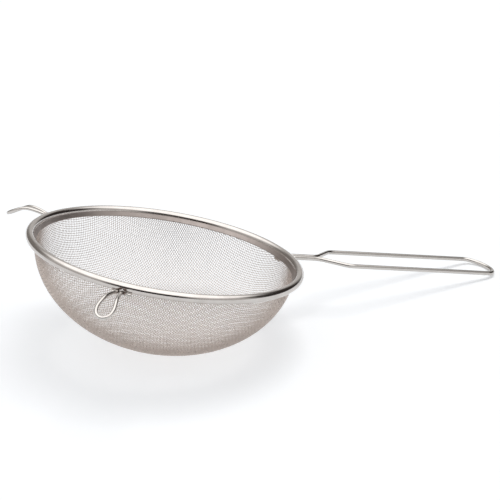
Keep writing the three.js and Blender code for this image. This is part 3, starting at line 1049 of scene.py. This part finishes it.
@dataclass(frozen=True)
class Studio:
    """White sweep, soft lamps and the camera of the photograph.

    Attributes:
        distance: camera from the middle of the rim, in millimetres.
        azimuth: its bearing round the rim, in degrees; 0 looks along +Y.
        elevation: its height over the rim, in degrees.
        pitch: tilt of the camera, in degrees.
        yaw: turn of the camera, in degrees.
        lens: focal length, in millimetres.
        sensor: width of the sensor, in millimetres.
        floor_size: side of the floor, in metres.
        paper: tone of the floor's paper, sRGB hex.
        paper_glow: light that the paper under the strainer passes on from below.
        horizon: tone of the room round the horizon, sRGB hex.
        room_rise: sines of the heights between which the room turns white.
        corners: the room's dark corners.
        sky: brightness of the white canopy overhead in what steel mirrors.
        sky_rise: sines of the heights between which that brightness is reached.
        lamps: the lamps.
        fill: light from all round.
        fill_tone: its tone, sRGB hex.
    """

    distance: float = 1106.1
    azimuth: float = -25.25
    elevation: float = 22.05
    pitch: float = 67.963
    yaw: float = -28.708
    lens: float = 108.0
    sensor: float = 36.0
    floor_size: float = 8.0
    paper: str = "F4F4F4"
    paper_glow: float = 0.285
    horizon: str = "D2D0CE"
    room_rise: tuple[float, float] = (0.35, 0.75)
    corners: tuple[DarkCorner, ...] = (
        DarkCorner(bearing=-10.0, spread=34.0, top=36.0, colour="2A2422"),
        DarkCorner(bearing=118.0, spread=34.0, top=36.0, colour="3A3432"),
        DarkCorner(bearing=-142.0, spread=26.0, top=34.0, colour="8C8884"))
    sky: float = 1.9
    sky_rise: tuple[float, float] = (0.5, 0.8)
    lamps: tuple[Softbox, ...] = (
        Softbox("softbox_key", bearing=115.0, height=78.0, spread=36.0, strength=1.12),
        Softbox("softbox_fill", bearing=-60.0, height=72.0, spread=60.0, strength=0.2))
    fill: float = 0.45
    fill_tone: str = "F4F9FF"

    def camera(self, place: RimFrame) -> None:
        """Sets the camera.

        Args:
            place: the rim's frame.
        """
        a, e = math.radians(self.azimuth), math.radians(self.elevation)
        back = np.array([math.sin(a) * math.cos(e), -math.cos(a) * math.cos(e), math.sin(e)])
        data = bpy.data.cameras.new("camera")
        data.lens = self.lens
        data.sensor_width = self.sensor
        made = bpy.data.objects.new("camera", data)
        made.location = place.centre + back * self.distance * MM
        made.rotation_euler = (math.radians(self.pitch), 0.0, math.radians(self.yaw))
        bpy.context.scene.collection.objects.link(made)
        bpy.context.scene.camera = made

    def world(self) -> None:
        """White overhead, grey round the horizon, and the dark corners that polished steel mirrors."""
        world = bpy.data.worlds.new("studio")
        bpy.context.scene.world = world
        world.use_nodes = True
        tree = world.node_tree
        tree.nodes.clear()
        direction = add_node(tree, "ShaderNodeTexCoord").outputs["Generated"]
        level = add_node(tree, "ShaderNodeVectorMath", {"operation": "MULTIPLY"}, {
            0: direction, 1: (1.0, 1.0, 0.0)}).outputs["Vector"]
        bearing = add_node(tree, "ShaderNodeVectorMath", {"operation": "NORMALIZE"}, {
            0: level}).outputs["Vector"]
        height = add_node(tree, "ShaderNodeSeparateXYZ", {}, {0: direction}).outputs["Z"]
        rise = add_node(tree, "ShaderNodeMapRange", {"interpolation_type": "SMOOTHSTEP"}, {
            "Value": height, "From Min": self.room_rise[0], "From Max": self.room_rise[1]}).outputs["Result"]
        room = add_node(tree, "ShaderNodeMix", {"data_type": "RGBA"}, {
            "Factor": rise, "A": linear(self.horizon), "B": linear(WHITE)}).outputs["Result"]
        for corner in self.corners:
            room = corner.darken(tree, room, bearing, height, self.azimuth)
        canopy = add_node(tree, "ShaderNodeMapRange", {"interpolation_type": "SMOOTHSTEP"}, {
            "Value": height, "From Min": self.sky_rise[0], "From Max": self.sky_rise[1],
            "To Min": 1.0, "To Max": self.sky}).outputs["Result"]
        path = add_node(tree, "ShaderNodeLightPath").outputs
        mirrored = add_node(tree, "ShaderNodeBackground", {}, {"Color": room, "Strength": canopy})
        fill = add_node(tree, "ShaderNodeBackground", {}, {
            "Color": linear(self.fill_tone), "Strength": self.fill})
        white = add_node(tree, "ShaderNodeBackground", {}, {"Color": linear(WHITE), "Strength": 1.0})
        lit = add_node(tree, "ShaderNodeMixShader", {}, {
            0: path["Is Glossy Ray"], 1: fill.outputs[0], 2: mirrored.outputs[0]})
        seen = add_node(tree, "ShaderNodeMath", {"operation": "MAXIMUM"}, {
            0: path["Is Camera Ray"], 1: path["Is Transmission Ray"]}).outputs[0]
        mix = add_node(tree, "ShaderNodeMixShader", {}, {0: seen, 1: lit.outputs[0], 2: white.outputs[0]})
        add_node(tree, "ShaderNodeOutputWorld", {}, {"Surface": mix.outputs[0]})

    def floor(self) -> None:
        """Lays the white floor, which keeps the strainer's shadow."""
        half = self.floor_size / 2
        corners = np.array([[-half, -half, 0], [half, -half, 0], [half, half, 0], [-half, half, 0]])
        made = make_object("floor", corners, [[0, 1, 2, 3]])
        material = bpy.data.materials.new("white_sweep_paper")
        material.use_nodes = True
        tree = material.node_tree
        tree.nodes.clear()
        path = add_node(tree, "ShaderNodeLightPath").outputs
        mirrored = add_node(tree, "ShaderNodeMath", {"operation": "MAXIMUM"}, {
            0: path["Is Glossy Ray"], 1: path["Is Transmission Ray"]}).outputs[0]
        seen = add_node(tree, "ShaderNodeMath", {"operation": "MAXIMUM"}, {
            0: path["Is Camera Ray"], 1: mirrored}).outputs[0]
        paper = add_node(tree, "ShaderNodeBsdfDiffuse", {}, {"Color": linear(self.paper)})
        glow = add_node(tree, "ShaderNodeEmission", {}, {"Color": linear(WHITE), "Strength": self.paper_glow})
        dark = add_node(tree, "ShaderNodeEmission", {}, {"Strength": 0.0})
        lift = add_node(tree, "ShaderNodeMixShader", {}, {0: seen, 1: dark.outputs[0], 2: glow.outputs[0]})
        both = add_node(tree, "ShaderNodeAddShader", {}, {0: paper.outputs[0], 1: lift.outputs[0]})
        add_node(tree, "ShaderNodeOutputMaterial", {}, {"Surface": both.outputs[0]})
        made.data.materials.append(material)

    def build(self, place: RimFrame) -> None:
        """Sets up the whole studio.

        Args:
            place: the rim's frame.
        """
        bpy.context.scene.view_settings.view_transform = "Standard"
        self.camera(place)
        self.world()
        self.floor()
        for lamp in self.lamps:
            lamp.build(self.azimuth)


def dress_hem(frame: dict[str, Any]) -> None:
    """Gives the wire ring inside the bead its finish.

    Args:
        frame: the loaded frame.
    """
    hem = frame["nodes"]["hem_wire"]
    hem.data.materials.clear()
    hem.data.materials.append(DRAWN_WIRE.material())
    log.info("hem_wire: kept from the frame")


def main() -> None:
    """Builds the strainer and its studio in order."""
    logging.basicConfig(level=logging.INFO, format="%(name)s %(message)s")
    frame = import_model()
    place = RimFrame.from_hem(HEM_WIRE)
    log.info("rim at %s, tipped %.2f degrees", place.centre.round(4), math.degrees(place.tip))
    Studio().build(place)
    rim = Rim()
    rim.build(place)
    WovenBowl(rim).build(place)
    Handle(rim).build(place)
    Ear(rim, "ear_wire_left", "ear_left", bearing=123.0).build(place)
    Ear(rim, "ear_wire_right", "ear_right", bearing=-133.0).build(place)
    dress_hem(frame)


if __name__ == "__main__":
    main()
